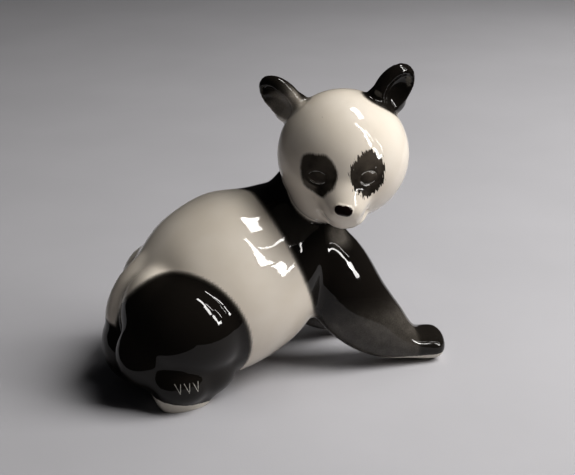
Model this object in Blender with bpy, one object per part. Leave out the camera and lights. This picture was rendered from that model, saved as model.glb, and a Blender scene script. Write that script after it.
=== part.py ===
"""A sitting panda cub, slip-cast in one piece of porcelain and glazed.

Metres, +Z up. The body faces +X and the head looks back over the right shoulder, towards -Y.
The figure stands on z = 0 on its rump, hind feet and forepaws. The carving is stated in
carving units, of which CARVED_HEIGHT make the figure's height from table to ear tip, so
HEIGHT alone sets the size of the whole casting.
"""

import math

import bmesh
import bpy
from mathutils import Matrix, Vector

HEIGHT = 0.0912
CARVED_HEIGHT = 91.2
UNIT = HEIGHT / CARVED_HEIGHT

RIGHT = -1
LEFT = 1

# Trunk: x, y and z of the middle, half width and half height of its upright sections
TRUNK = [
    (-47, 0, 21, 8.5, 11),
    (-42, 0, 22.5, 14, 17.3),
    (-34, 0, 24.5, 22.3, 22.8),
    (-22, 0, 26.8, 25.5, 26.4),
    (-10, 0, 28.8, 24, 25),
    (1, -0.5, 33, 18.9, 22.8),
    (9, -1, 37.7, 12.5, 17),
]
TAIL = [
    (-41.5, 0, 36, 4, 3.5),
    (-46.2, 0, 30, 5, 4.6),
    (-49.6, 0, 23, 5, 4.6),
    (-50.5, 0, 16, 4.5, 4),
]
NECK = [
    (-4, -0.5, 41, 13, 11),
    (5, -2.5, 50.5, 10.5, 11.2),
    (11, -6, 60, 9, 12),
]
# Eggs: x, y and z of the middle, then the half size along each axis
SEAT = (-45.2, 1, 12, 10.4, 10, 12.7)
HIP = (-41.6, 10, 24, 10.6, 11.5, 13.6)
HAUNCH = (-42.6, 14.3, 15, 12.6, 9.5, 11.5)
THIGH = (-34.2, 15.2, 21.8, 16.6, 13.7, 15.2)
SHIN = (-34.6, 15.8, 9, 13.8, 9.8, 9.2)
TOES = (-38.2, 19.4, 8.2, 9, 8.6, 7.8)
# Limbs: x, y and z along the middle, then the half width and half depth across it
HIND_FOOT = [
    (-37.4, 12, 3.4, 7.6, 6.6),
    (-37.4, 18, 3.2, 8.4, 6.2),
    (-37, 20.8, 3, 8.4, 5.8),
]
FORELEG = [
    (0, 6.5, 42, 8, 9),
    (9, 8.6, 32, 8.6, 11.4),
    (17, 11, 19, 8.2, 11),
    (26, 12, 10.2, 7, 8.8),
    (34.4, 12.5, 5.6, 6.8, 5),
    (41.8, 12.6, 4.4, 7, 5),
]
HIND_LEG_FORWARD = {RIGHT: 0, LEFT: 5}
FORELEG_FORWARD = {RIGHT: 0, LEFT: -8}

# The head is carved in a frame of its own: -Y is where the nose points, +Z the crown
HEAD_CENTRE = (12.4, -12, 65.2)
HEAD_YAW = -24
HEAD_PITCH = 8
HEAD_ROLL = -6.5
CRANIUM = (0, 0, 0.5, 18.5, 18.5, 18.3)
CHEEKS = (-2.4, -3, -6.6, 13.8, 14.5, 11)
MUZZLE = [
    (-1, -9, -2, 9, 9),
    (0, -15, -5, 8, 7),
    (0, -20, -7.6, 5.2, 4.6),
]
CHIN = (0, -12.5, -11.5, 6.2, 8, 3.6)
# The ears are carved in frames that lean out from the crown and open forwards
EAR_BASE = (12.6, 4, 13)
EAR_LEAN = 34
EAR_OPEN = 30
EAR_SHELL = (0, 0, 5, 6, 3.2, 8.1)
EAR_ROOT = (0.8, 1, 0.5, 6.8, 3.2, 5.5)
EAR_HOLLOW = (0.8, -3, 5.6, 4.4, 3.4, 5.8)

# Softness of the joins, as the radius of the blend between masses. A pass of smoothing moves
# each point a share of the way to the middle of its neighbours.
BODY_BLEND = 1.8
HEAD_BLEND = 1.8
EAR_BLEND = 0.8
JOIN_BLEND = 0.8
SMOOTH_SHARE = 0.5
PASSES_PER_GRAIN = 4

GLAZE_COLOUR = (0.80, 0.78, 0.74, 1)
GLAZE_ROUGHNESS = 0.08

# Fineness of the mesh
GRAIN = 1.0
FACES = 8000
RING_SIDES = 40
RINGS_PER_STATION = 6
CAP_RINGS = 6
CAP_LENGTH = 0.6
EGG_SIDES = 48


def smooth_between(a, b, c, d, t):
    """Catmull-Rom value between b and c."""
    return 0.5 * (
        2 * b
        + (c - a) * t
        + (2 * a - 5 * b + 4 * c - d) * t * t
        + (3 * b - a - 3 * c + d) * t * t * t
    )


def smooth_path(stations, steps=RINGS_PER_STATION):
    """Stations of equal length, with smooth values filled in between them."""
    ends = [stations[0]] + list(stations) + [stations[-1]]
    path = []
    for i in range(1, len(ends) - 2):
        for step in range(steps):
            t = step / steps
            path.append(
                [smooth_between(*values, t) for values in zip(*ends[i - 1 : i + 3])]
            )
    path.append(list(stations[-1]))
    return path


def add_rings(clay, rings):
    """Closed tube through rings of points, with a pole at each end."""
    made = [[clay.verts.new(p) for p in ring] for ring in rings]
    count = len(made[0])
    for low, high in zip(made, made[1:]):
        for i in range(count):
            j = (i + 1) % count
            clay.faces.new((low[i], low[j], high[j], high[i]))
    for ring, flip in ((made[0], True), (made[-1], False)):
        middle = sum((v.co for v in ring), Vector()) / count
        pole = clay.verts.new(middle)
        for i in range(count):
            j = (i + 1) % count
            corners = (ring[j], ring[i], pole) if flip else (ring[i], ring[j], pole)
            clay.faces.new(corners)


def add_limb(clay, stations, side=(0, 1, 0), upright=False, frame=Matrix()):
    """Tapered limb through stations (x, y, z, half width, half depth), with rounded ends.

    The half width lies along `side`. An upright limb keeps its sections square to X.
    """
    path = smooth_path(stations)
    centres = [Vector(s[:3]) for s in path]
    sections = []
    for i, (centre, station) in enumerate(zip(centres, path)):
        before = centres[max(i - 1, 0)]
        after = centres[min(i + 1, len(centres) - 1)]
        along = Vector((1, 0, 0)) if upright else (after - before).normalized()
        across = (Vector(side) - Vector(side).dot(along) * along).normalized()
        sections.append((centre, along, across, along.cross(across), *station[3:]))

    def ring(section, shift, shrink):
        centre, along, across, deep, half_width, half_depth = section
        middle = centre + along * shift
        points = []
        for k in range(RING_SIDES):
            angle = math.tau * k / RING_SIDES
            offset = (
                across * (half_width * math.cos(angle))
                + deep * (half_depth * math.sin(angle))
            )
            points.append(frame @ ((middle + offset * shrink) * UNIT))
        return points

    rings = []
    first, last = sections[0], sections[-1]
    for k in range(CAP_RINGS):
        angle = math.pi / 2 * (1 - (k + 0.5) / CAP_RINGS)
        length = CAP_LENGTH * min(first[4:])
        rings.append(ring(first, -length * math.sin(angle), math.cos(angle)))
    rings += [ring(section, 0, 1) for section in sections]
    for k in range(CAP_RINGS):
        angle = math.pi / 2 * (k + 0.5) / CAP_RINGS
        length = CAP_LENGTH * min(last[4:])
        rings.append(ring(last, length * math.sin(angle), math.cos(angle)))
    add_rings(clay, rings)


def add_egg(clay, egg, frame=Matrix()):
    """Ellipsoid with its middle and half sizes given along the axes of a frame."""
    place = Matrix.Translation(Vector(egg[:3]) * UNIT)
    size = Matrix.Diagonal([half * UNIT for half in egg[3:]] + [1])
    bmesh.ops.create_uvsphere(
        clay,
        u_segments=EGG_SIDES,
        v_segments=EGG_SIDES // 2,
        radius=1,
        matrix=frame @ place @ size,
    )


def mesh_object(name, clay):
    """New object in the scene from a bmesh."""
    bmesh.ops.recalc_face_normals(clay, faces=clay.faces)
    mesh = bpy.data.meshes.new(name)
    clay.to_mesh(mesh)
    clay.free()
    obj = bpy.data.objects.new(name, mesh)
    bpy.context.scene.collection.objects.link(obj)
    return obj


def settle(obj):
    """Applies an object's modifiers to its mesh."""
    depsgraph = bpy.context.evaluated_depsgraph_get()
    mesh = bpy.data.meshes.new_from_object(obj.evaluated_get(depsgraph))
    old = obj.data
    obj.modifiers.clear()
    obj.data = mesh
    bpy.data.meshes.remove(old)
    return obj


def fuse(name, clay, blend):
    """Melts overlapping masses into one skin, softened over the blend radius."""
    obj = mesh_object(name, clay)
    remesh = obj.modifiers.new("Remesh", "REMESH")
    remesh.mode = "VOXEL"
    remesh.voxel_size = GRAIN * UNIT
    soften = obj.modifiers.new("Soften", "SMOOTH")
    soften.factor = SMOOTH_SHARE
    soften.iterations = max(1, round(PASSES_PER_GRAIN * (blend / GRAIN) ** 2))
    return settle(obj)


def pour(objects):
    """One bmesh holding the meshes of several objects, which are removed."""
    clay = bmesh.new()
    for obj in objects:
        clay.from_mesh(obj.data)
        bpy.data.objects.remove(obj)
    return clay


def head_frame():
    """Frame of the head: -Y is where the nose points, +Z the crown."""
    turn = (
        Matrix.Rotation(math.radians(HEAD_YAW), 4, "Z")
        @ Matrix.Rotation(math.radians(HEAD_PITCH), 4, "X")
        @ Matrix.Rotation(math.radians(HEAD_ROLL), 4, "Y")
    )
    return Matrix.Translation(Vector(HEAD_CENTRE) * UNIT) @ turn


def on_side(station, hand, forward=0, axis=1):
    """A station or egg of the left side, mirrored for the right and moved forwards."""
    moved = list(station)
    moved[axis] *= hand
    moved[0] += forward
    return tuple(moved)


def make_body():
    """Trunk, tail, neck and four legs, melted together."""
    clay = bmesh.new()
    add_limb(clay, TRUNK, upright=True)
    add_limb(clay, TAIL)
    add_limb(clay, NECK)
    add_egg(clay, SEAT)
    for hand in (RIGHT, LEFT):
        forward = HIND_LEG_FORWARD[hand]
        for egg in (HIP, HAUNCH, THIGH, SHIN, TOES):
            add_egg(clay, on_side(egg, hand, forward))
        foot = [on_side(s, hand, forward) for s in HIND_FOOT]
        add_limb(clay, foot, side=(1, 0, 0))
        foreleg = [on_side(s, hand, FORELEG_FORWARD[hand]) for s in FORELEG]
        add_limb(clay, foreleg)
    return fuse("body", clay, BODY_BLEND)


def make_ear(hand):
    """Cupped ear: a shell on a broad root, with a hollow cut in its front."""
    frame = (
        head_frame()
        @ Matrix.Translation(Vector(on_side(EAR_BASE, hand, axis=0)) * UNIT)
        @ Matrix.Rotation(math.radians(EAR_LEAN * hand), 4, "Y")
        @ Matrix.Rotation(math.radians(EAR_OPEN * hand), 4, "Z")
    )
    clay = bmesh.new()
    add_egg(clay, EAR_SHELL, frame)
    add_egg(clay, on_side(EAR_ROOT, hand, axis=0), frame)
    ear = fuse("ear", clay, EAR_BLEND)
    clay = bmesh.new()
    add_egg(clay, on_side(EAR_HOLLOW, hand, axis=0), frame)
    cutter = mesh_object("ear_cutter", clay)
    hollow = ear.modifiers.new("Hollow", "BOOLEAN")
    hollow.operation = "DIFFERENCE"
    hollow.solver = "EXACT"
    hollow.object = cutter
    settle(ear)
    bpy.data.objects.remove(cutter)
    return ear


def make_head():
    """Skull, cheeks and muzzle, melted together."""
    frame = head_frame()
    clay = bmesh.new()
    for egg in (CRANIUM, CHEEKS, CHIN):
        add_egg(clay, egg, frame)
    add_limb(clay, MUZZLE, side=(1, 0, 0), frame=frame)
    return fuse("head", clay, HEAD_BLEND)


def stand(obj):
    """Cuts the casting flat where it stands on z = 0, and centres it over the origin."""
    clay = bmesh.new()
    clay.from_mesh(obj.data)
    cut = bmesh.ops.bisect_plane(
        clay,
        geom=clay.verts[:] + clay.edges[:] + clay.faces[:],
        plane_co=(0, 0, 0),
        plane_no=(0, 0, -1),
        clear_outer=True,
    )
    rims = [e for e in cut["geom_cut"] if isinstance(e, bmesh.types.BMEdge)]
    bmesh.ops.edgeloop_fill(clay, edges=rims)
    bmesh.ops.triangulate(clay, faces=clay.faces)
    middle = [
        (min(values) + max(values)) / 2 for values in zip(*(v.co for v in clay.verts))
    ]
    bmesh.ops.translate(clay, verts=clay.verts, vec=(-middle[0], -middle[1], 0))
    bmesh.ops.recalc_face_normals(clay, faces=clay.faces)
    clay.to_mesh(obj.data)
    clay.free()


def make_panda():
    """The whole casting as one closed skin."""
    masses = [make_body(), make_head(), make_ear(RIGHT), make_ear(LEFT)]
    panda = fuse("panda", pour(masses), JOIN_BLEND)
    thin = panda.modifiers.new("Thin", "DECIMATE")
    thin.ratio = min(1.0, FACES / (2 * len(panda.data.polygons)))
    settle(panda)
    stand(panda)
    panda.data.shade_smooth()
    return panda


def make_glaze():
    """Clear-glazed white porcelain."""
    glaze = bpy.data.materials.new("glazed_porcelain")
    glaze.use_nodes = True
    surface = glaze.node_tree.nodes["Principled BSDF"]
    surface.inputs["Base Color"].default_value = GLAZE_COLOUR
    surface.inputs["Roughness"].default_value = GLAZE_ROUGHNESS
    surface.inputs["Metallic"].default_value = 0
    return glaze


def main():
    for obj in list(bpy.data.objects):
        bpy.data.objects.remove(obj)
    panda = make_panda()
    panda.data.materials.append(make_glaze())
    return panda


if __name__ == "__main__":
    main()
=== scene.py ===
"""A sitting panda cub in glazed porcelain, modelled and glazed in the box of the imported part.

Laid out as an add-on with its controls in the 3D view's sidebar, and run as a script. The body
faces +X and the head looks back over the right shoulder, towards -Y. The carving is stated in
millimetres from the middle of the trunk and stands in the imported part's box.
"""

import math

import bpy
import numpy as np
from mathutils import Matrix, Vector


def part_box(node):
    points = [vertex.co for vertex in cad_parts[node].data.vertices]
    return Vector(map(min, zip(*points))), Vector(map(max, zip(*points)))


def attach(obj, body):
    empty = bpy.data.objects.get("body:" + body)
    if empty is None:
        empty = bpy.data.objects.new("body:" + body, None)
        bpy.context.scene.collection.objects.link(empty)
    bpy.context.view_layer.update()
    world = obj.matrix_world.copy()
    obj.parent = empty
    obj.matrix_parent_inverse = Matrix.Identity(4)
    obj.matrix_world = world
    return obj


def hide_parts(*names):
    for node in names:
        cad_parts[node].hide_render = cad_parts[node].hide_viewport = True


bl_info = {
    "name": "Glazed panda",
    "version": (1, 0, 0),
    "blender": (4, 5, 0),
    "location": "3D View > Sidebar > Panda",
    "description": "Models a slip-cast panda cub, sprays and glazes it, and sets its stage",
    "category": "Add Mesh",
}

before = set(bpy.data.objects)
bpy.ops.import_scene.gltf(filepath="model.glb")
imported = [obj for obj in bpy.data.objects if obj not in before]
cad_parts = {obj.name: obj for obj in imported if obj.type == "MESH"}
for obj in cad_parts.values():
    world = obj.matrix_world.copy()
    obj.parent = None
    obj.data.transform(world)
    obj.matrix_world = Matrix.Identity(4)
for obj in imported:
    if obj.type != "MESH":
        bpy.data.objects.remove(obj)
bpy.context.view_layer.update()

MM = 0.001
RIGHT = -1
LEFT = 1
TINY = 1e-9

# Trunk: x, y and z of the middle, half width and half height of its upright sections
TRUNK = [
    (-47, 0, 21, 8.5, 11),
    (-42, 0, 22.5, 14, 17.3),
    (-34, 0, 24.5, 22.3, 22.8),
    (-22, 0, 26.8, 25.5, 26.4),
    (-10, 0, 28.8, 24, 25),
    (1, -0.5, 33, 18.9, 22.8),
    (9, -1, 37.7, 12.5, 17),
]
TAIL = [
    (-41.5, 0, 36, 4, 3.5),
    (-46.2, 0, 30, 5, 4.6),
    (-49.6, 0, 23, 5, 4.6),
    (-50.5, 0, 16, 4.5, 4),
]
NECK = [
    (-4, -0.5, 41, 13, 11),
    (5, -2.5, 50.5, 10.5, 11.2),
    (11, -6, 60, 9, 12),
]
# Eggs: x, y and z of the middle, then the half size along each axis
SEAT = (-45.2, 1, 12, 10.4, 10, 12.7)
HIP = (-41.6, 10, 24, 10.6, 11.5, 13.6)
HAUNCH = (-42.6, 14.3, 15, 12.6, 9.5, 11.5)
THIGH = (-34.2, 15.2, 21.8, 16.6, 13.7, 15.2)
SHIN = (-34.6, 15.8, 9, 13.8, 9.8, 9.2)
TOES = (-38.2, 19.4, 8.2, 9, 8.6, 7.8)
# Limbs: x, y and z along the middle, then the half width and half depth across it
HIND_FOOT = [
    (-37.4, 12, 3.4, 7.6, 6.6),
    (-37.4, 18, 3.2, 8.4, 6.2),
    (-37, 20.8, 3, 8.4, 5.8),
]
FORELEG = [
    (0, 6.5, 42, 8, 9),
    (9, 8.6, 32, 8.6, 11.4),
    (17, 11, 19, 8.2, 11),
    (26, 12, 10.2, 7, 8.8),
    (34.4, 12.5, 5.6, 6.8, 5),
    (41.8, 12.6, 4.4, 7, 5),
]
HIND_LEG_FORWARD = {RIGHT: 0, LEFT: 5}
FORELEG_FORWARD = {RIGHT: 0, LEFT: -8}

# The head is carved in a frame of its own: -Y is where the nose points, +Z the crown
HEAD_CENTRE = (12.4, -12, 65.2)
HEAD_TURN = (-24, 8, -6.5)
CRANIUM = (0, 0, 0.5, 18.5, 18.5, 18.3)
CHEEKS = (-2.4, -3, -6.6, 13.8, 14.5, 11)
MUZZLE = [(-1, -9, -2, 9, 9), (0, -15, -5, 8, 7), (0, -20, -7.6, 5.2, 4.6)]
CHIN = (0, -12.5, -11.5, 6.2, 8, 3.6)
EAR_BASE = (12.6, 4, 13)
EAR_LEAN = 34
EAR_OPEN = 30
EAR_SHELL = (0, 0, 5, 6, 3.2, 8.1)
EAR_ROOT = (0.8, 1, 0.5, 6.8, 3.2, 5.5)
EAR_HOLLOW = (0.8, -3, 5.6, 4.4, 3.4, 5.8)

# The face, as x and z in the head's frame, on what lies ahead of these depths
CARVED_FRONT = -10
PAINTED_FRONT = -8
EYES = {
    RIGHT: {"at": (-6.2, 1.9), "half": (2.5, 1.8), "tilt": 0},
    LEFT: {"at": (7.5, 0.5), "half": (2.2, 1.8), "tilt": -12},
}
# Scratched lid lines: degrees round the eye from end to end, and steps along each
LID_ARCS = ((152, 30), (214, 318))
LID_STEPS = 12
PATCHES = {
    RIGHT: [
        (-9.8, 7.1), (-7.8, 8.2), (-5.7, 8.0), (-3.4, 8.0), (-1.9, 6.4), (-0.6, 3.6),
        (-1.2, 0.8), (-2.2, -0.9), (-4.0, -2.0), (-5.5, -3.3), (-8.3, -2.3),
        (-10.2, -0.8), (-10.8, 1.6), (-10.7, 4.4),
    ],
    LEFT: [
        (8.7, 7.3), (6.7, 7.4), (5.1, 6.7), (3.6, 5.0), (2.7, 3.2), (2.3, 1.2),
        (3.1, -0.8), (4.4, -2.4), (6.0, -4.2), (7.2, -4.8), (8.8, -4.5),
        (10.3, -3.4), (11.3, -1.5), (11.8, 0.8), (11.7, 3.0), (10.6, 5.6),
    ],
}
NOSE = [(-0.7, -5.5), (1.2, -6.1)]
NOSE_RADIUS = 1.45
MOUTH = [
    (-7.1, -8.7), (-6.4, -10.3), (-4.7, -12.3), (-2.8, -13.2), (0.2, -13.7),
    (3.0, -13.2), (4.8, -11.9), (5.9, -10.4),
]
# Carved relief: the lid's rise as a share of the eye's bulge, its place and width as shares of
# the eye's size, the width of the nose's edge, and half widths of the mouth's crease and scratches
LID_RISE = 0.3
LID_PLACE = 1.35
LID_WIDTH = 0.3
NOSE_MARGIN = 0.5
NOSE_EDGE = 1.1
MOUTH_WIDTH = 0.45
SCRATCH_WIDTH = 0.18
# Claws scratched in the sides of the hind feet: the first one's point, its size, the pitch from
# one to the next, and how far out from the trunk's middle a foot's side starts
CLAW_POINT = (-40.6, 7.4)
CLAW_HEIGHT = 2.9
CLAW_HALF_WIDTH = 0.75
CLAW_SLANT = -0.6
CLAW_PITCH = 2.5
CLAWS = 3
CLAW_SIDE = 20
# The distance stored where a line is out of sight, and the longest one stored for a scratch
FAR_AWAY = 9.0
SCRATCH_REACH = 3.0

# Where the spray lies. A pair of values is where a fade starts and where it ends.
# Eggs of black on the hind legs and the rump
SPRAYED_HAUNCHES = [
    (-38.4, -21.5, 14, 19.3, 26.5, 24.6),
    (-32.4, 26.5, 10, 19.3, 26.5, 24.6),
    (-53, 2, 4, 16, 18, 16.5),
]
HAUNCH_FADE = (-0.8, 0.8)
# A slanting edge behind the shoulders, which lies further back on the far side
SHOULDER_EDGE = (-4.0, 38.2)
SHOULDER_SLOPE = -0.42
SHOULDER_FADE = (-1.1, 1.1)
SHOULDER_TOP = (67, 71)
FAR_SHOULDER_BACK = -5
FAR_SHOULDER = (-2, 12)
# The skull is kept clear, with a wide soft edge under the jaw and a narrow one at the nape
SKULL_CLEAR = 0.1
JAW_FADE = 2.4
NAPE_FADE = 0.7
NAPE = (-14, -6)
MUZZLE_CLEAR = 7.5
# Thin spray low on the forelegs and on a spot of the chest, and fuller spray on the paws
FORELEG_THIN = 0.46
FORELEG_LOW = (15, 26)
FORELEG_FRONT = (2, 10)
PAW_COVER = 0.9
PAW_FRONT = (32, 36)
CHEST_SPOT = (11.0, -13.0, 42.5)
CHEST_THIN = 0.64
CHEST_FADE = (2.0, 7.0)
# The ears: where the black starts up from the root, and how thin it is low in the cup
EAR_TONE_ROOT = {RIGHT: (-1.0, 2.6), LEFT: (-2.4, 0.2)}
EAR_SHELL_FADE = (1.2, 2.8)
EAR_CUP_THIN = {RIGHT: 0.78, LEFT: 0.10}
EAR_CUP_FADE = (0.2, 1.0)
EAR_FRONT_FADE = (-1.5, 0.5)
EAR_CUP_HEIGHT = (4.0, 11.5)
# How high the soles and the seat are wiped clean, and where the hind foot's sole lies
HEEL_WIPED = 4.0
TOE_WIPED = 1.2
PAW_WIPED = 3.0
SEAT_WIPED = 0.8
SOLE_HEEL = -45
SOLE_LENGTH = 14
SOLE_SIDE = (10, 15)

# Glaze. A noise is its size in millimetres, its strength and its detail, and a range is where a
# step or a fall starts and ends. First the white's clouds and specks
CLOUDS = (14, 1, 3)
CLOUD_RANGE = (-0.25, 0.25)
CLOUD_TINT = (0.94, 0.925, 0.90)
SPECK_PITCH = 7
SPECK_SPREAD = (3, 1, 1)
SPECK_RADIUS = 0.12
SPECK_COLOUR = (0.20, 0.15, 0.11)
SPECK_STRENGTH = 0.6
# The sprayed black, and the share of what is under it that shows through where it is full
GRIT = (0.35, 0.3, 3)
SPATTER = (2.6, 0.2, 2)
SHOWS_THROUGH = 0.012
# The brushed patches: half the width over which wet turns to dry, the bristles, how far they
# break each edge and how wide it fades, and the wash that pools towards the bottom
WET_TO_DRY = 2
BRISTLE_SIZE = 0.36
BRISTLE_STRETCH = (1, 0.35, 0.13)
SOFT_BRUSHING = 0.5
DRY_BRUSHING = 3.3
SOFT_EDGE = 0.5
DRY_EDGE = 0.16
PATCH_WOBBLE = (2.2, 0.6, 2)
POOLS = (4, 1, 3)
POOL_DEPTH = 5
POOL_SHARE = 0.3
POOL_RANGE = (-0.3, 0.3)
PATCH_SHADES = (0.35, 1.5)
# The edges of the nose, of the scratched lines and of the wiped soles
NOSE_WOBBLE = (0.9, 0.5, 2)
NOSE_FADE = (-0.12, 0.12)
SCRATCH_WOBBLE = (0.8, 0.22, 2)
SCRATCH_FADE = (0.05, 0.15)
SCRATCH_STRENGTH = 0.9
SOLE_WOBBLE = (1.6, 0.7, 3)
SOLE_FADE = (-0.08, 0.1)
# The skin of the glaze
GLOSS_ROUGHNESS = 0.035
BARE_ROUGHNESS = 0.4
GLAZE_IOR = 1.43
GLAZE_WAVES = 0.10
LONG_WAVES = (9, 1, 1)
SHORT_WAVES = (2.5, 0.06, 1)
# Paper
PAPER_CLOUDS = (60, 1, 4)
PAPER_RANGE = (-0.3, 0.3)
PAPER_DARK = 0.97
PAPER_LIGHT = 1.02
PAPER_ROUGHNESS = 0.85
PAPER_TOOTH = (0.5, 1, 3)
TOOTH_STRENGTH = 0.25
TOOTH_DEPTH = 0.1

# Stage: the camera's bearing in degrees, its distance and target in metres, and its lens
VIEW_AZIMUTH = -20
VIEW_ELEVATION = 20
VIEW_DISTANCE = 0.40
VIEW_TARGET = (0.0054, 0.0015, 0.0385)
VIEW_SENSOR = 36
VIEW_LENS = 86.4
VIEW_CLIP = 0.01
# Paper: a round sheet inside a sweep that rises in steps of height and spread. Lines across the
# sheet, as azimuth and distance, part what the glaze mirrors from the pieces in the dark. A piece
# with -1 keeps the figure's side of a line, and one with 1 what lies beyond it.
SHEET_RADIUS = 0.8
SHEET_SIDES = 96
SWEEP_STEPS = [(0, 2.75), (0.02, 1.06), (0.08, 1.05), (0.2, 1.04), (0.9, 1.02)]
SWEEP_CREASE = 50
PAPER_EDGES = [(18, 0.065), (-55, 0.064)]
MIRRORED_PAPER = "paper_sheet"
PAPER_PIECES = {MIRRORED_PAPER: (-1, -1), "paper_front": (1,), "paper_side": (-1, 1)}
# Panes that the glaze mirrors: name, azimuth, elevation, width, height and roll
LIGHTS_AIM = (0, 0, 0.04)
WINDOW_DISTANCE = 0.6
WINDOW_PANES = [
    ("window_crown", 84, 70.5, 0.24, 0.075, 22),
    ("window_upper", 31, 55, 0.032, 0.22, 4),
    ("window_middle", 31, 35, 0.048, 0.22, 4),
    ("window_branch", 39, 40, 0.010, 0.20, 10),
    ("window_twig", 48, 22, 0.008, 0.20, 14),
    ("window_low", 38, 14, 0.042, 0.19, 20),
    ("window_sill", 43, 6, 0.09, 0.05, 12),
]
WINDOW_COLOUR = (1.0, 0.985, 0.96)
FILL_COLOUR = (0.96, 0.98, 1.0)
# Soft lights that the glaze doesn't mirror: azimuth, elevation, distance, width, height, colour
SOFT_LIGHTS = {
    "wall": (60, 36, 0.6, 0.35, 0.25, WINDOW_COLOUR),
    "sky": (58, 60, 0.9, 0.5, 0.4, WINDOW_COLOUR),
    "glow": (120, 28, 0.6, 0.4, 0.3, WINDOW_COLOUR),
    "fill": (-150, 50, 1.2, 1.2, 0.9, FILL_COLOUR),
}
ROOM_COLOUR = (0.9, 0.93, 1.0, 1)
ROOM_STRENGTH = 0.012

# Softness of the clay: each pass of smoothing moves a point this share of the way to the middle
# of its neighbours, and a join as wide as the mesh's grain takes this many passes
SMOOTH_SHARE = 0.5
PASSES_PER_GRAIN = 4

# Fineness of the mesh, and how far round the carving it is divided finely
RING_SIDES = 40
RINGS_PER_STATION = 6
CAP_RINGS = 6
CAP_LENGTH = 0.6
EGG_SIDES = 48
FINE_CUTS = 3
FINE_SCRATCH = 1.6
FINE_NOSE = 1.2
FINE_MOUTH = 1.4
FINE_EYE = 1.2
CUT_THRESHOLD = 1e-6


class PandaSizes(bpy.types.PropertyGroup):
    """Sizes of the figure's mesh, its soft joins and its fine carving."""

    grain: bpy.props.FloatProperty(
        name="Grain",
        description="Spacing of the clay's mesh",
        default=0.65 * MM, min=0.4 * MM, max=2 * MM,
        unit="LENGTH", subtype="DISTANCE", precision=5,
    )
    body_blend: bpy.props.FloatProperty(
        name="Body blend",
        description="Softness of the joins between trunk and limbs",
        default=1.8 * MM, unit="LENGTH", subtype="DISTANCE", precision=5,
    )
    head_blend: bpy.props.FloatProperty(
        name="Head blend",
        description="Softness of the joins between skull, cheeks and muzzle",
        default=1.8 * MM, unit="LENGTH", subtype="DISTANCE", precision=5,
    )
    join_blend: bpy.props.FloatProperty(
        name="Join blend",
        description="Softness of the ears and of the head's seat on the neck",
        default=0.8 * MM, unit="LENGTH", subtype="DISTANCE", precision=5,
    )
    eye_bulge: bpy.props.FloatProperty(
        name="Eye bulge",
        description="How far the eyeballs stand out of their lids",
        default=0.35 * MM, unit="LENGTH", subtype="DISTANCE", precision=5,
    )
    nose_bulge: bpy.props.FloatProperty(
        name="Nose bulge",
        description="How far the nose stands out of the muzzle",
        default=0.45 * MM, unit="LENGTH", subtype="DISTANCE", precision=5,
    )
    mouth_depth: bpy.props.FloatProperty(
        name="Mouth depth",
        description="Depth of the crease of the mouth",
        default=0.5 * MM, unit="LENGTH", subtype="DISTANCE", precision=5,
    )
    scratch_depth: bpy.props.FloatProperty(
        name="Scratch depth",
        description="Depth of the lines scratched through the black",
        default=0.1 * MM, unit="LENGTH", subtype="DISTANCE", precision=5,
    )


class PandaColours(bpy.types.PropertyGroup):
    """Colours of the casting and its glazes."""

    white: bpy.props.FloatVectorProperty(
        name="White", description="Clear glaze over the white body",
        default=(0.74, 0.682, 0.605), size=3, subtype="COLOR", min=0, max=1,
    )
    black: bpy.props.FloatVectorProperty(
        name="Black", description="Sprayed black at full strength",
        default=(0.0034, 0.0022, 0.0015), size=3, subtype="COLOR", min=0, max=1,
    )
    patch: bpy.props.FloatVectorProperty(
        name="Patch", description="Brushed patches round the eyes",
        default=(0.052, 0.044, 0.036), size=3, subtype="COLOR", min=0, max=1,
    )
    nose: bpy.props.FloatVectorProperty(
        name="Nose", description="Brushed tip of the nose",
        default=(0.010, 0.0045, 0.004), size=3, subtype="COLOR", min=0, max=1,
    )
    scratch: bpy.props.FloatVectorProperty(
        name="Scratch", description="Lines scratched through to the white",
        default=(0.42, 0.41, 0.38), size=3, subtype="COLOR", min=0, max=1,
    )
    sole: bpy.props.FloatVectorProperty(
        name="Sole", description="Bare body wiped clean where the figure stands",
        default=(0.66, 0.62, 0.55), size=3, subtype="COLOR", min=0, max=1,
    )


class PandaStage(bpy.types.PropertyGroup):
    """Paper floor and soft light."""

    paper: bpy.props.FloatVectorProperty(
        name="Paper", description="Colour of the paper sweep",
        default=(0.45, 0.446, 0.468), size=3, subtype="COLOR", min=0, max=1,
    )
    window_power: bpy.props.FloatProperty(
        name="Window power", description="Strength of the panes that the glaze mirrors",
        default=3.6, min=0, unit="POWER",
    )
    wall_power: bpy.props.FloatProperty(
        name="Wall power", description="Strength of the broad soft light at the right",
        default=2.2, min=0, unit="POWER",
    )
    sky_power: bpy.props.FloatProperty(
        name="Sky power", description="Strength of the broad soft light from above",
        default=5.4, min=0, unit="POWER",
    )
    glow_power: bpy.props.FloatProperty(
        name="Glow power", description="Strength of the soft light on the paper behind",
        default=0.6, min=0, unit="POWER",
    )
    fill_power: bpy.props.FloatProperty(
        name="Fill power", description="Strength of the broad dim light from behind",
        default=0.02, min=0, unit="POWER",
    )


def smooth_between(a, b, c, d, t):
    """Catmull-Rom value between b and c."""
    return 0.5 * (
        2 * b
        + (c - a) * t
        + (2 * a - 5 * b + 4 * c - d) * t * t
        + (3 * b - a - 3 * c + d) * t * t * t
    )


def smooth_path(stations, steps=RINGS_PER_STATION, closed=False):
    """Stations of equal length, with smooth values filled in between them."""
    stations = list(stations)
    if closed:
        ends = [stations[-1]] + stations + stations[:2]
    else:
        ends = [stations[0]] + stations + [stations[-1]]
    path = []
    for i in range(1, len(ends) - 2):
        for step in range(steps):
            t = step / steps
            path.append(
                [smooth_between(*values, t) for values in zip(*ends[i - 1 : i + 3])]
            )
    path.append(list(stations[0] if closed else stations[-1]))
    return path


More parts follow.
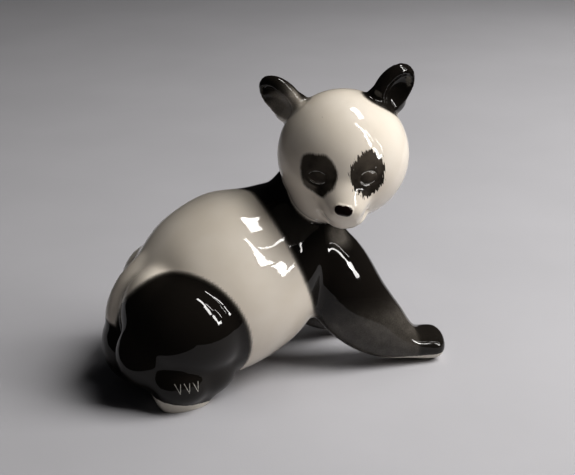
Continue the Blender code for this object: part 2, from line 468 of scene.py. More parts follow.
def head_frame():
    """Frame of the head, in metres: -Y is where the nose points, +Z the crown."""
    yaw, pitch, roll = (math.radians(angle) for angle in HEAD_TURN)
    turn = (
        Matrix.Rotation(yaw, 4, "Z")
        @ Matrix.Rotation(pitch, 4, "X")
        @ Matrix.Rotation(roll, 4, "Y")
    )
    return Matrix.Translation(Vector(HEAD_CENTRE) * MM) @ turn


def ear_frame(hand):
    """Frame of an ear, which leans out from the crown and opens forwards."""
    return (
        head_frame()
        @ Matrix.Translation(Vector(on_side(EAR_BASE, hand, axis=0)) * MM)
        @ Matrix.Rotation(math.radians(EAR_LEAN * hand), 4, "Y")
        @ Matrix.Rotation(math.radians(EAR_OPEN * hand), 4, "Z")
    )


def on_side(station, hand, forward=0, axis=1):
    """A station or egg of the left side, mirrored for the right and moved forwards."""
    moved = list(station)
    moved[axis] *= hand
    moved[0] += forward
    return tuple(moved)


def deselect():
    """Leaves object mode with nothing selected."""
    if bpy.context.object and bpy.context.object.mode != "OBJECT":
        bpy.ops.object.mode_set(mode="OBJECT")
    bpy.ops.object.select_all(action="DESELECT")


def activate(obj):
    """Selects one object alone."""
    deselect()
    obj.select_set(True)
    bpy.context.view_layer.objects.active = obj


def join(objects, name):
    """Joins objects into the first, with its place taken into its mesh."""
    activate(objects[0])
    for obj in objects[1:]:
        obj.select_set(True)
    if len(objects) > 1:
        bpy.ops.object.join()
    joined = bpy.context.object
    bpy.ops.object.transform_apply(location=True, rotation=True, scale=True)
    joined.name = name
    joined.data.name = name
    return joined


def egg(values, place=Matrix()):
    """Ellipsoid with its middle and half sizes given along the axes of a frame."""
    deselect()
    bpy.ops.mesh.primitive_uv_sphere_add(
        segments=EGG_SIDES,
        ring_count=EGG_SIDES // 2,
        radius=1,
        location=place @ (Vector(values[:3]) * MM),
        rotation=place.to_euler(),
    )
    ball = bpy.context.object
    ball.scale = [half * MM for half in values[3:]]
    return ball


def hoop(section, shift, shrink, place):
    """One elliptical ring of a limb."""
    centre, along, across, deep, half_width, half_depth = section
    turn = Matrix((across, deep, along)).transposed().to_4x4()
    bpy.ops.mesh.primitive_circle_add(
        vertices=RING_SIDES,
        radius=1,
        fill_type="NOTHING",
        location=place @ ((centre + along * shift) * MM),
        rotation=(place @ turn).to_euler(),
    )
    ring = bpy.context.object
    ring.scale = (half_width * shrink * MM, half_depth * shrink * MM, 1)
    return ring


def limb(stations, side=(0, 1, 0), upright=False, place=Matrix()):
    """Tapered limb through stations (x, y, z, half width, half depth), with rounded ends.

    The half width lies along `side`. An upright limb keeps its sections square to X.
    """
    path = smooth_path(stations)
    centres = [Vector(s[:3]) for s in path]
    sections = []
    for i, (centre, station) in enumerate(zip(centres, path)):
        before = centres[max(i - 1, 0)]
        after = centres[min(i + 1, len(centres) - 1)]
        along = Vector((1, 0, 0)) if upright else (after - before).normalized()
        across = (Vector(side) - Vector(side).dot(along) * along).normalized()
        sections.append((centre, along, across, along.cross(across), *station[3:]))
    first, last = sections[0], sections[-1]
    hoops = []
    for k in range(CAP_RINGS):
        angle = math.pi / 2 * (1 - (k + 0.5) / CAP_RINGS)
        back = -CAP_LENGTH * min(first[4:]) * math.sin(angle)
        hoops.append(hoop(first, back, math.cos(angle), place))
    hoops += [hoop(section, 0, 1, place) for section in sections]
    for k in range(CAP_RINGS):
        angle = math.pi / 2 * (k + 0.5) / CAP_RINGS
        ahead = CAP_LENGTH * min(last[4:]) * math.sin(angle)
        hoops.append(hoop(last, ahead, math.cos(angle), place))
    tube = join(hoops, "limb")
    bpy.ops.object.mode_set(mode="EDIT")
    bpy.ops.mesh.select_all(action="SELECT")
    bpy.ops.mesh.bridge_edge_loops()
    bpy.ops.mesh.select_all(action="SELECT")
    bpy.ops.mesh.fill_holes(sides=0)
    bpy.ops.mesh.normals_make_consistent(inside=False)
    bpy.ops.object.mode_set(mode="OBJECT")
    return tube


def apply_modifiers(obj):
    """Applies an object's modifiers in order."""
    activate(obj)
    for modifier in list(obj.modifiers):
        bpy.ops.object.modifier_apply(modifier=modifier.name)


def melt(masses, name, blend, grain):
    """Melts overlapping masses into one skin, softened over the blend radius."""
    skin = join(masses, name)
    remesh = skin.modifiers.new("Remesh", "REMESH")
    remesh.mode = "VOXEL"
    remesh.voxel_size = grain
    soften = skin.modifiers.new("Soften", "SMOOTH")
    soften.factor = SMOOTH_SHARE
    soften.iterations = max(1, round(PASSES_PER_GRAIN * (blend / grain) ** 2))
    apply_modifiers(skin)
    return skin


def model_body(sizes):
    """Trunk, tail, neck and four legs, melted together."""
    masses = [limb(TRUNK, upright=True), limb(TAIL), limb(NECK), egg(SEAT)]
    for hand in (RIGHT, LEFT):
        forward = HIND_LEG_FORWARD[hand]
        for mass in (HIP, HAUNCH, THIGH, SHIN, TOES):
            masses.append(egg(on_side(mass, hand, forward)))
        foot = [on_side(s, hand, forward) for s in HIND_FOOT]
        masses.append(limb(foot, side=(1, 0, 0)))
        masses.append(limb([on_side(s, hand, FORELEG_FORWARD[hand]) for s in FORELEG]))
    return melt(masses, "body", sizes.body_blend, sizes.grain)


def model_head(sizes):
    """Skull, cheeks and muzzle, melted together."""
    place = head_frame()
    masses = [egg(mass, place) for mass in (CRANIUM, CHEEKS, CHIN)]
    masses.append(limb(MUZZLE, side=(1, 0, 0), place=place))
    return melt(masses, "head", sizes.head_blend, sizes.grain)


def model_ear(hand, sizes):
    """Cupped ear: a shell on a broad root, with a hollow cut in its front."""
    place = ear_frame(hand)
    masses = [egg(EAR_SHELL, place), egg(on_side(EAR_ROOT, hand, axis=0), place)]
    ear = melt(masses, "ear", sizes.join_blend, sizes.grain)
    cutter = join([egg(on_side(EAR_HOLLOW, hand, axis=0), place)], "ear_cutter")
    hollow = ear.modifiers.new("Hollow", "BOOLEAN")
    hollow.operation = "DIFFERENCE"
    hollow.solver = "EXACT"
    hollow.object = cutter
    apply_modifiers(ear)
    bpy.data.objects.remove(cutter)
    return ear


def stand(figure):
    """Cuts the figure flat where it stands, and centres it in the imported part's box."""
    activate(figure)
    bpy.ops.object.mode_set(mode="EDIT")
    bpy.ops.mesh.select_all(action="SELECT")
    bpy.ops.mesh.bisect(
        plane_co=(0, 0, 0), plane_no=(0, 0, -1), threshold=CUT_THRESHOLD,
        clear_outer=True, use_fill=True,
    )
    bpy.ops.object.mode_set(mode="OBJECT")
    low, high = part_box("panda")
    middle = (Vector(low) + Vector(high)) / 2
    points = read_points(figure)
    own = (points.min(0) + points.max(0)) / 2
    shift = Vector((middle.x - own[0], middle.y - own[1], 0))
    figure.data.transform(Matrix.Translation(shift))
    return shift


def read_points(figure):
    """Vertex positions as an array."""
    points = np.empty(len(figure.data.vertices) * 3)
    figure.data.vertices.foreach_get("co", points)
    return points.reshape(-1, 3)


def in_frame(points, place):
    """Points seen from a frame, in millimetres."""
    turn = np.array(place.to_3x3())
    return (points - np.array(place.translation)) @ turn / MM


def ramp(values, low, high):
    """Smooth step from 0 at low to 1 at high."""
    t = np.clip((values - low) / (high - low), 0, 1)
    return t * t * (3 - 2 * t)


def egg_distance(points, values):
    """Nearly the distance to an egg's skin, below zero inside it."""
    offset = (points - np.array(values[:3])) / np.array(values[3:])
    length = np.linalg.norm(offset, axis=1) + TINY
    steep = np.linalg.norm(offset / np.array(values[3:]), axis=1) + TINY
    return length * (length - 1) / steep


def line_distance(points, line):
    """Distance from points to a broken line."""
    best = np.full(len(points), np.inf)
    line = np.array(line, float)
    for a, b in zip(line, line[1:]):
        along = b - a
        t = np.clip((points - a) @ along / (along @ along), 0, 1)
        best = np.minimum(best, np.linalg.norm(points - a - t[:, None] * along, axis=1))
    return best


def outline_distance(points, outline):
    """Distance from flat points to a closed outline, below zero inside it."""
    line = np.array(smooth_path(outline, closed=True))
    distance = line_distance(points, line)
    inside = np.zeros(len(points), bool)
    for a, b in zip(line, line[1:]):
        crosses = (a[1] > points[:, 1]) != (b[1] > points[:, 1])
        rise = b[1] - a[1] if b[1] != a[1] else TINY
        reach = a[0] + (points[:, 1] - a[1]) / rise * (b[0] - a[0])
        inside ^= crosses & (points[:, 0] < reach)
    return np.where(inside, -distance, distance)


def eye_points(points, eye):
    """Head-frame points seen from an eye's middle, as shares of its half sizes."""
    tilt = math.radians(eye["tilt"])
    flat = points[:, [0, 2]] - np.array(eye["at"])
    across = flat[:, 0] * math.cos(tilt) + flat[:, 1] * math.sin(tilt)
    up = -flat[:, 0] * math.sin(tilt) + flat[:, 1] * math.cos(tilt)
    return across / eye["half"][0], up / eye["half"][1]


def eye_arcs(eye):
    """The scratched upper and lower lid lines of an eye, as x and z in the head's frame."""
    tilt = math.radians(eye["tilt"])
    arcs = []
    for first, last in LID_ARCS:
        arc = []
        for step in range(LID_STEPS + 1):
            angle = math.radians(first + (last - first) * step / LID_STEPS)
            across = eye["half"][0] * math.cos(angle)
            up = eye["half"][1] * math.sin(angle)
            arc.append((
                eye["at"][0] + across * math.cos(tilt) - up * math.sin(tilt),
                eye["at"][1] + across * math.sin(tilt) + up * math.cos(tilt),
            ))
        arcs.append(arc)
    return arcs


def claw_lines(hand):
    """The claws scratched in a hind foot, as x and z beside the trunk."""
    lines = []
    for k in range(CLAWS):
        x = CLAW_POINT[0] + k * CLAW_PITCH + HIND_LEG_FORWARD[hand]
        z = CLAW_POINT[1]
        top = z + CLAW_HEIGHT
        left = x + CLAW_SLANT - CLAW_HALF_WIDTH
        right = x + CLAW_SLANT + CLAW_HALF_WIDTH
        lines.append([(left, top), (x, z), (right, top)])
    return lines


def scratch_distance(own, head):
    """Distance to the nearest scratched line, from trunk and head points."""
    distance = np.full(len(own), FAR_AWAY)
    front = head[:, 1] < CARVED_FRONT
    for eye in EYES.values():
        for arc in eye_arcs(eye):
            near = line_distance(head[:, [0, 2]], arc)
            distance = np.where(front, np.minimum(distance, near), distance)
    for hand in (RIGHT, LEFT):
        outer = own[:, 1] * hand > CLAW_SIDE
        for claw in claw_lines(hand):
            near = line_distance(own[:, [0, 2]], claw)
            distance = np.where(outer, np.minimum(distance, near), distance)
    return distance


def refine(figure, place):
    """Divides the faces that the face's and the claws' fine carving needs."""
    middles = np.empty(len(figure.data.polygons) * 3)
    figure.data.polygons.foreach_get("center", middles)
    middles = middles.reshape(-1, 3)
    own = in_frame(middles, Matrix.Translation(place))
    head = in_frame(middles, Matrix.Translation(place) @ head_frame())
    front = head[:, 1] < CARVED_FRONT
    flat = head[:, [0, 2]]
    fine = (scratch_distance(own, head) < FINE_SCRATCH) | (front & (
        (line_distance(flat, NOSE) < NOSE_RADIUS + FINE_NOSE)
        | (line_distance(flat, MOUTH) < FINE_MOUTH)
    ))
    for eye in EYES.values():
        across, up = eye_points(head, eye)
        fine |= front & (np.hypot(across, up) < FINE_EYE)
    activate(figure)
    bpy.ops.object.mode_set(mode="EDIT")
    bpy.ops.mesh.select_mode(type="FACE")
    bpy.ops.mesh.select_all(action="DESELECT")
    bpy.ops.object.mode_set(mode="OBJECT")
    figure.data.polygons.foreach_set("select", fine)
    bpy.ops.object.mode_set(mode="EDIT")
    bpy.ops.mesh.subdivide(number_cuts=FINE_CUTS)
    bpy.ops.mesh.select_mode(type="VERT")
    bpy.ops.object.mode_set(mode="OBJECT")


def carve(figure, place, sizes):
    """Raises the eyes and nose, and sinks the mouth's crease and the scratched lines."""
    points = read_points(figure)
    normals = np.empty(len(points) * 3)
    figure.data.vertex_normals.foreach_get("vector", normals)
    normals = normals.reshape(-1, 3)
    own = in_frame(points, Matrix.Translation(place))
    head = in_frame(points, Matrix.Translation(place) @ head_frame())
    front = head[:, 1] < CARVED_FRONT
    flat = head[:, [0, 2]]
    rise = np.zeros(len(points))
    for eye in EYES.values():
        across, up = eye_points(head, eye)
        far = np.hypot(across, up)
        ball = sizes.eye_bulge * np.clip(1 - far**2, 0, 1)
        lid = LID_RISE * sizes.eye_bulge * np.exp(-(((far - LID_PLACE) / LID_WIDTH) ** 2))
        rise += np.where(front, ball + lid, 0)
    bump = ramp(NOSE_RADIUS + NOSE_MARGIN - line_distance(flat, NOSE), 0, NOSE_EDGE)
    rise += np.where(front, sizes.nose_bulge * bump, 0)
    crease = np.exp(-((line_distance(flat, MOUTH) / MOUTH_WIDTH) ** 2))
    rise -= np.where(front, sizes.mouth_depth * crease, 0)
    scratch = np.exp(-((scratch_distance(own, head) / SCRATCH_WIDTH) ** 2))
    rise -= sizes.scratch_depth * scratch
    points += normals * rise[:, None]
    figure.data.vertices.foreach_set("co", points.ravel())
    figure.data.update()


def keep_field(figure, name, values):
    """Stores a value for each vertex, for the glaze to read."""
    field = figure.data.attributes.new(name, "FLOAT", "POINT")
    field.data.foreach_set("value", values.astype(np.float32))


def haunch_spray(own):
    """Black on the hind legs and the rump."""
    cover = [1 - ramp(egg_distance(own, haunch), *HAUNCH_FADE) for haunch in SPRAYED_HAUNCHES]
    return np.max(cover, axis=0)


def shoulder_spray(own, head):
    """Black on the neck, the shoulders and the forelegs, clear of the skull."""
    x, y, z = own.T
    edge = SHOULDER_EDGE[0] + SHOULDER_SLOPE * (z - SHOULDER_EDGE[1])
    edge = edge + FAR_SHOULDER_BACK * ramp(y, *FAR_SHOULDER)
    cover = ramp((x - edge) / math.hypot(1, SHOULDER_SLOPE), *SHOULDER_FADE)
    skull = [egg_distance(head, mass) for mass in (CRANIUM, CHEEKS, CHIN)]
    skull.append(line_distance(head, [s[:3] for s in MUZZLE]) - MUZZLE_CLEAR)
    fade = JAW_FADE + (NAPE_FADE - JAW_FADE) * ramp(head[:, 1], *NAPE)
    cover *= ramp(np.min(skull, axis=0), SKULL_CLEAR, fade)
    cover *= 1 - ramp(z, *SHOULDER_TOP)
    low = (1 - ramp(z, *FORELEG_LOW)) * ramp(x, *FORELEG_FRONT)
    cover *= np.maximum(1 - FORELEG_THIN * low, PAW_COVER * ramp(x, *PAW_FRONT))
    chest = np.linalg.norm(own - np.array(CHEST_SPOT), axis=1)
    return cover * (1 - CHEST_THIN * (1 - ramp(chest, *CHEST_FADE)))


def ear_spray(ear, hand):
    """Black on an ear, from points in its frame."""
    height = ear[:, 2]
    cover = ramp(height, *EAR_TONE_ROOT[hand])
    cover *= 1 - ramp(egg_distance(ear, EAR_SHELL), *EAR_SHELL_FADE)
    hollow = egg_distance(ear, on_side(EAR_HOLLOW, hand, axis=0))
    cup = np.maximum(1 - ramp(hollow, *EAR_CUP_FADE), ramp(-ear[:, 1], *EAR_FRONT_FADE))
    return cover * (1 - EAR_CUP_THIN[hand] * cup * (1 - ramp(height, *EAR_CUP_HEIGHT)))


def wiped_height(own):
    """How high above the table the glaze is wiped off."""
    x, y, _ = own.T
    along = np.clip((x - SOLE_HEEL) / SOLE_LENGTH, 0, 1)
    foot = HEEL_WIPED + (TOE_WIPED - HEEL_WIPED) * along
    height = SEAT_WIPED + (foot - SEAT_WIPED) * ramp(np.abs(y), *SOLE_SIDE)
    return np.where(x > 0, PAW_WIPED, height)


def spray(figure, place):
    """Works out where the black is sprayed, brushed, scratched and wiped off."""
    points = read_points(figure)
    own = in_frame(points, Matrix.Translation(place))
    head = in_frame(points, Matrix.Translation(place) @ head_frame())
    cover = [haunch_spray(own), shoulder_spray(own, head)]
    for hand in (RIGHT, LEFT):
        ear = in_frame(points, Matrix.Translation(place) @ ear_frame(hand))
        cover.append(ear_spray(ear, hand))
    keep_field(figure, "black", np.max(cover, axis=0))

    front = head[:, 1] < PAINTED_FRONT
    flat = head[:, [0, 2]]
    patch = np.min([outline_distance(flat, outline) for outline in PATCHES.values()], axis=0)
    nose = line_distance(flat, NOSE) - NOSE_RADIUS
    keep_field(figure, "patch", np.where(front, patch, FAR_AWAY))
    keep_field(figure, "nose", np.where(front, nose, FAR_AWAY))
    keep_field(figure, "scratch", np.minimum(scratch_distance(own, head), SCRATCH_REACH))
    keep_field(figure, "sole", own[:, 2] - wiped_height(own))


class Glaze:
    """Builds the shader of the glazed casting, node by node."""

    def __init__(self, name):
        self.material = bpy.data.materials.new(name)
        self.material.use_nodes = True
        self.tree = self.material.node_tree
        self.surface = self.tree.nodes["Principled BSDF"]
        self.coordinates = self.node("ShaderNodeTexCoord").outputs["Object"]

    def node(self, kind, **settings):
        """Adds a node with its settings."""
        node = self.tree.nodes.new(kind)
        for name, value in settings.items():
            setattr(node, name, value)
        return node

    def plug(self, socket, value):
        """Links a socket, or gives a constant to it."""
        if isinstance(value, bpy.types.NodeSocket):
            self.tree.links.new(value, socket)
        elif hasattr(value, "__len__") and len(value) == 3 and socket.type == "RGBA":
            socket.default_value = (*value, 1)
        else:
            socket.default_value = value

    def math(self, operation, *values):
        """Math node's output."""
        node = self.node("ShaderNodeMath", operation=operation)
        for socket, value in zip(node.inputs, values):
            self.plug(socket, value)
        return node.outputs[0]

    def field(self, name):
        """A value stored on the mesh."""
        return self.node("ShaderNodeAttribute", attribute_name=name).outputs["Fac"]

    def noise(self, size, strength=1, detail=2, vector=None, stretch=(1, 1, 1)):
        """Noise around zero, with features of a given size in millimetres."""
        mapping = self.node("ShaderNodeMapping")
        self.plug(mapping.inputs["Vector"], vector or self.coordinates)
        mapping.inputs["Scale"].default_value = [s / (size * MM) for s in stretch]
        node = self.node("ShaderNodeTexNoise")
        self.plug(node.inputs["Vector"], mapping.outputs[0])
        node.inputs["Scale"].default_value = 1
        node.inputs["Detail"].default_value = detail
        return self.math("MULTIPLY", self.math("SUBTRACT", node.outputs["Fac"], 0.5), strength)

    def step(self, value, low, high):
        """Smooth step of a value, from 0 at low to 1 at high."""
        node = self.node("ShaderNodeMapRange", interpolation_type="SMOOTHSTEP")
        self.plug(node.inputs["Value"], value)
        node.inputs["From Min"].default_value = low
        node.inputs["From Max"].default_value = high
        return node.outputs[0]

    def fall(self, value, low, high):
        """Smooth step of a value, from 1 at low to 0 at high."""
        return self.math("SUBTRACT", 1, self.step(value, low, high))

    def mix(self, factor, a, b):
        """Mixes two colours."""
        node = self.node("ShaderNodeMix", data_type="RGBA")
        self.plug(node.inputs[0], factor)
        self.plug(node.inputs[6], a)
        self.plug(node.inputs[7], b)
        return node.outputs[2]


def white_body(glaze, colour):
    """Faintly clouded white with a few brown specks."""
    white = glaze.mix(
        glaze.step(glaze.noise(*CLOUDS), *CLOUD_RANGE),
        colour,
        [channel * tint for channel, tint in zip(colour, CLOUD_TINT)],
    )
    speck = glaze.node("ShaderNodeTexVoronoi")
    glaze.plug(speck.inputs["Vector"], glaze.coordinates)
    speck.inputs["Scale"].default_value = 1 / (SPECK_PITCH * MM)
    distance = glaze.math("MULTIPLY", speck.outputs["Distance"], SPECK_PITCH)
    distance = glaze.math("ADD", distance, glaze.noise(*SPECK_SPREAD))
    dot = glaze.math("MULTIPLY", glaze.fall(distance, 0, SPECK_RADIUS), SPECK_STRENGTH)
    return glaze.mix(dot, white, SPECK_COLOUR)


def sprayed_black(glaze, under, colour):
    """Black over what is under it, gritty where the spray is open."""
    black = glaze.field("black")
    open_edge = glaze.math("MULTIPLY", black, glaze.math("SUBTRACT", 1, black))
    open_edge = glaze.math("MULTIPLY", open_edge, 4)
    grit = glaze.math("ADD", glaze.noise(*GRIT), glaze.noise(*SPATTER))
    cover = glaze.math("ADD", black, glaze.math("MULTIPLY", grit, open_edge))
    cover = glaze.math("MINIMUM", glaze.math("MAXIMUM", cover, 0), 1)
    hidden = glaze.math("SUBTRACT", 1, glaze.math("POWER", SHOWS_THROUGH, cover))
    return glaze.mix(hidden, under, colour)


def brushed_patches(glaze, under, colour, place):
    """Eye patches, brushed wet at the right eye and dry, with bristle marks, at the left one."""
    turn = Matrix.Translation(place) @ head_frame()
    brush = glaze.node("ShaderNodeMapping", vector_type="TEXTURE")
    glaze.plug(brush.inputs["Vector"], glaze.coordinates)
    brush.inputs["Location"].default_value = turn.translation
    brush.inputs["Rotation"].default_value = turn.to_euler()
    head = glaze.node("ShaderNodeSeparateXYZ")
    glaze.plug(head.inputs[0], brush.outputs[0])
    dry = glaze.step(head.outputs["X"], -WET_TO_DRY * MM, WET_TO_DRY * MM)
    bristles = glaze.noise(BRISTLE_SIZE, vector=brush.outputs[0], stretch=BRISTLE_STRETCH)
    marks = glaze.math("MULTIPLY_ADD", dry, DRY_BRUSHING - SOFT_BRUSHING, SOFT_BRUSHING)
    edge = glaze.math("MULTIPLY", bristles, marks)
    edge = glaze.math("ADD", edge, glaze.noise(*PATCH_WOBBLE))
    edge = glaze.math("ADD", glaze.field("patch"), edge)
    width = glaze.math("MULTIPLY_ADD", dry, DRY_EDGE - SOFT_EDGE, SOFT_EDGE)
    inside = glaze.fall(glaze.math("DIVIDE", edge, width), -1, 1)
    pooled = glaze.step(head.outputs["Z"], -POOL_DEPTH * MM, POOL_DEPTH * MM)
    pooled = glaze.math("MULTIPLY_ADD", pooled, POOL_SHARE, -POOL_SHARE / 2)
    pooled = glaze.math("ADD", glaze.noise(*POOLS), pooled)
    dark, light = ([channel * shade for channel in colour] for shade in PATCH_SHADES)
    return glaze.mix(inside, under, glaze.mix(glaze.step(pooled, *POOL_RANGE), dark, light))


def make_glaze(colours, place):
    """White and black under one clear glaze, with sprayed, brushed and scratched edges."""
    glaze = Glaze("glazed_porcelain")
    colour = white_body(glaze, colours.white)
    colour = sprayed_black(glaze, colour, colours.black)
    colour = brushed_patches(glaze, colour, colours.patch, place)
    nose = glaze.math("ADD", glaze.field("nose"), glaze.noise(*NOSE_WOBBLE))
    colour = glaze.mix(glaze.fall(nose, *NOSE_FADE), colour, colours.nose)
    line = glaze.math("ADD", glaze.field("scratch"), glaze.noise(*SCRATCH_WOBBLE))
    scratched = glaze.math("MULTIPLY", glaze.fall(line, *SCRATCH_FADE), SCRATCH_STRENGTH)
    colour = glaze.mix(scratched, colour, colours.scratch)
    wiped = glaze.math("ADD", glaze.field("sole"), glaze.noise(*SOLE_WOBBLE))
    bare = glaze.fall(wiped, *SOLE_FADE)
    colour = glaze.mix(bare, colour, colours.sole)
    glaze.plug(glaze.surface.inputs["Base Color"], colour)

    rough = glaze.math("MULTIPLY_ADD", bare, BARE_ROUGHNESS, GLOSS_ROUGHNESS)
    glaze.plug(glaze.surface.inputs["Roughness"], rough)
    glaze.surface.inputs["IOR"].default_value = GLAZE_IOR
    glaze.surface.inputs["Metallic"].default_value = 0

    bump = glaze.node("ShaderNodeBump")
    bump.inputs["Strength"].default_value = 1
    bump.inputs["Distance"].default_value = GLAZE_WAVES * MM
    waves = glaze.math("ADD", glaze.noise(*LONG_WAVES), glaze.noise(*SHORT_WAVES))
    glaze.plug(bump.inputs["Height"], waves)
    glaze.plug(glaze.surface.inputs["Normal"], bump.outputs[0])
    return glaze.material


class PANDA_OT_figure(bpy.types.Operator):
    """Model the panda, carve its face, and glaze it"""

    bl_idname = "panda.figure"
    bl_label = "Panda"
    bl_options = {"REGISTER", "UNDO"}

    def execute(self, context):
        sizes = context.scene.panda_sizes
        masses = [model_body(sizes), model_head(sizes)]
        masses += [model_ear(hand, sizes) for hand in (RIGHT, LEFT)]
        figure = melt(masses, "glazed_panda", sizes.join_blend, sizes.grain)
        place = stand(figure)
        refine(figure, place)
        carve(figure, place, sizes)
        spray(figure, place)
        figure.data.materials.clear()
        figure.data.materials.append(make_glaze(context.scene.panda_colours, place))
        activate(figure)
        bpy.ops.object.shade_smooth()
        if len(figure.data.polygons) == 0:
            raise RuntimeError("the figure has no faces")
        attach(figure, "root")
        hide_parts("panda")
        return {"FINISHED"}


def paper_material(colour):
    """Matt paper with a faint tooth."""
    paper = Glaze("paper")
    tone = paper.mix(
        paper.step(paper.noise(*PAPER_CLOUDS), *PAPER_RANGE),
        [channel * PAPER_DARK for channel in colour],
        [min(1, channel * PAPER_LIGHT) for channel in colour],
    )
    paper.plug(paper.surface.inputs["Base Color"], tone)
    paper.surface.inputs["Roughness"].default_value = PAPER_ROUGHNESS
    bump = paper.node("ShaderNodeBump")
    bump.inputs["Strength"].default_value = TOOTH_STRENGTH
    bump.inputs["Distance"].default_value = TOOTH_DEPTH * MM
    paper.plug(bump.inputs["Height"], paper.noise(*PAPER_TOOTH))
    paper.plug(paper.surface.inputs["Normal"], bump.outputs[0])
    return paper.material


def bearing(azimuth, elevation=0):
    """Direction from the figure, with the azimuth turned from -Y towards +X."""
    turn, rise = math.radians(azimuth), math.radians(elevation)
    return Vector((
        math.sin(turn) * math.cos(rise),
        -math.cos(turn) * math.cos(rise),
        math.sin(rise),
    ))


def add_disc(fill):
    """Disc or ring of the sheet's radius, left in edit mode with everything selected."""
    deselect()
    bpy.ops.mesh.primitive_circle_add(
        vertices=SHEET_SIDES, radius=SHEET_RADIUS, fill_type=fill
    )
    bpy.ops.object.mode_set(mode="EDIT")
    bpy.ops.mesh.select_all(action="SELECT")
    return bpy.context.object


def finish_paper(paper, name, colour):
    """Names a piece of paper, smooths it and gives it its material."""
    bpy.ops.object.mode_set(mode="OBJECT")
    bpy.ops.object.shade_smooth_by_angle(angle=math.radians(SWEEP_CREASE))
    paper.name = name
    paper.data.materials.append(paper_material(colour))
    paper.visible_glossy = name == MIRRORED_PAPER


def lay_paper(stage):
    """Round sheet of paper, cut along straight lines in front and at the left of the figure.

    What lies beyond a line is left out of what the glaze mirrors, as the room is dark there.
    """
    for name, sides in PAPER_PIECES.items():
        sheet = add_disc("NGON")
        for (azimuth, distance), side in zip(PAPER_EDGES, sides):
            toward = bearing(azimuth)
            bpy.ops.mesh.select_all(action="SELECT")
            bpy.ops.mesh.bisect(
                plane_co=toward * distance, plane_no=toward * -side, clear_outer=True
            )
        finish_paper(sheet, name, stage.paper)


def raise_sweep(stage):
    """Ring of paper round the sheet, curving up into a low wall that the glaze doesn't mirror."""
    sweep = add_disc("NOTHING")
    for rise, spread in SWEEP_STEPS:
        bpy.ops.mesh.extrude_edges_move(TRANSFORM_OT_translate={"value": (0, 0, rise)})
        bpy.ops.transform.resize(value=(spread, spread, 1))
    bpy.ops.mesh.select_all(action="SELECT")
    bpy.ops.mesh.normals_make_consistent(inside=True)
    finish_paper(sweep, "paper_sweep", stage.paper)


def add_panel(
    name, azimuth, elevation, distance, width, height, power, colour, roll=0
):
    """Flat light aimed at the figure, placed by its bearing from it."""
    deselect()
    out = bearing(azimuth, elevation)
    turn = out.to_track_quat("Z", "Y").to_matrix() @ Matrix.Rotation(math.radians(roll), 3, "Z")
    bpy.ops.object.light_add(
        type="AREA", location=Vector(LIGHTS_AIM) + out * distance, rotation=turn.to_euler()
    )
    light = bpy.context.object
    light.name = name
    light.data.name = name
    light.data.shape = "RECTANGLE"
    light.data.size = width
    light.data.size_y = height
    light.data.energy = power
    light.data.color = colour
    return light


def hang_lights(stage):
    """Panes that the glaze mirrors and that light nothing, and soft lights that it doesn't."""
    area = sum(width * height for _, _, _, width, height, _ in WINDOW_PANES)
    for name, azimuth, elevation, width, height, roll in WINDOW_PANES:
        pane = add_panel(
            name, azimuth, elevation, WINDOW_DISTANCE, width, height,
            stage.window_power * width * height / area, WINDOW_COLOUR, roll,
        )
        pane.visible_diffuse = False
    for name, (azimuth, elevation, distance, width, height, colour) in SOFT_LIGHTS.items():
        power = getattr(stage, name + "_power")
        light = add_panel(name, azimuth, elevation, distance, width, height, power, colour)
        light.visible_glossy = False


def dim_room(scene):
    """Dark room round the stage."""
    scene.world = bpy.data.worlds.new("dim_room")
    scene.world.use_nodes = True
    background = scene.world.node_tree.nodes["Background"]
    background.inputs["Color"].default_value = ROOM_COLOUR
    background.inputs["Strength"].default_value = ROOM_STRENGTH


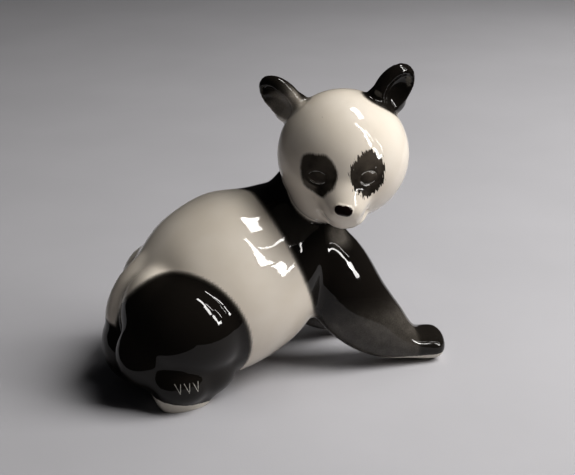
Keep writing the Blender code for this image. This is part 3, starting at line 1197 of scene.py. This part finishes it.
def place_camera(scene):
    """Camera at the photograph's angle."""
    deselect()
    back = bearing(VIEW_AZIMUTH, VIEW_ELEVATION)
    bpy.ops.object.camera_add(
        location=Vector(VIEW_TARGET) + back * VIEW_DISTANCE,
        rotation=back.to_track_quat("Z", "Y").to_euler(),
    )
    camera = bpy.context.object
    camera.name = "camera"
    camera.data.sensor_width = VIEW_SENSOR
    camera.data.lens = VIEW_LENS
    camera.data.clip_start = VIEW_CLIP
    scene.camera = camera
    scene.view_settings.view_transform = "Standard"
    scene.view_settings.look = "Medium High Contrast"


class PANDA_OT_stage(bpy.types.Operator):
    """Lay the paper floor, and set the lights and the camera"""

    bl_idname = "panda.stage"
    bl_label = "Stage"
    bl_options = {"REGISTER", "UNDO"}

    def execute(self, context):
        stage = context.scene.panda_stage
        lay_paper(stage)
        raise_sweep(stage)
        hang_lights(stage)
        dim_room(context.scene)
        place_camera(context.scene)
        if context.scene.camera is None:
            raise RuntimeError("the stage has no camera")
        return {"FINISHED"}


class VIEW3D_PT_panda(bpy.types.Panel):
    """The figure's controls"""

    bl_label = "Panda"
    bl_space_type = "VIEW_3D"
    bl_region_type = "UI"
    bl_category = "Panda"

    def draw(self, context):
        layout = self.layout
        for group in ("panda_sizes", "panda_colours", "panda_stage"):
            settings = getattr(context.scene, group)
            box = layout.box()
            for name in settings.bl_rna.properties.keys():
                if name not in ("rna_type", "name"):
                    box.prop(settings, name)
        for operator in OPERATORS:
            layout.operator(operator.bl_idname)


OPERATORS = (PANDA_OT_figure, PANDA_OT_stage)
GROUPS = {
    "panda_sizes": PandaSizes,
    "panda_colours": PandaColours,
    "panda_stage": PandaStage,
}


def register():
    for group in (*GROUPS.values(), *OPERATORS, VIEW3D_PT_panda):
        bpy.utils.register_class(group)
    for name, group in GROUPS.items():
        setattr(bpy.types.Scene, name, bpy.props.PointerProperty(type=group))


def unregister():
    for name in GROUPS:
        delattr(bpy.types.Scene, name)
    for group in (VIEW3D_PT_panda, *OPERATORS, *GROUPS.values()):
        bpy.utils.unregister_class(group)


def main():
    register()
    bpy.ops.panda.figure()
    bpy.ops.panda.stage()


if __name__ == "__main__":
    main()
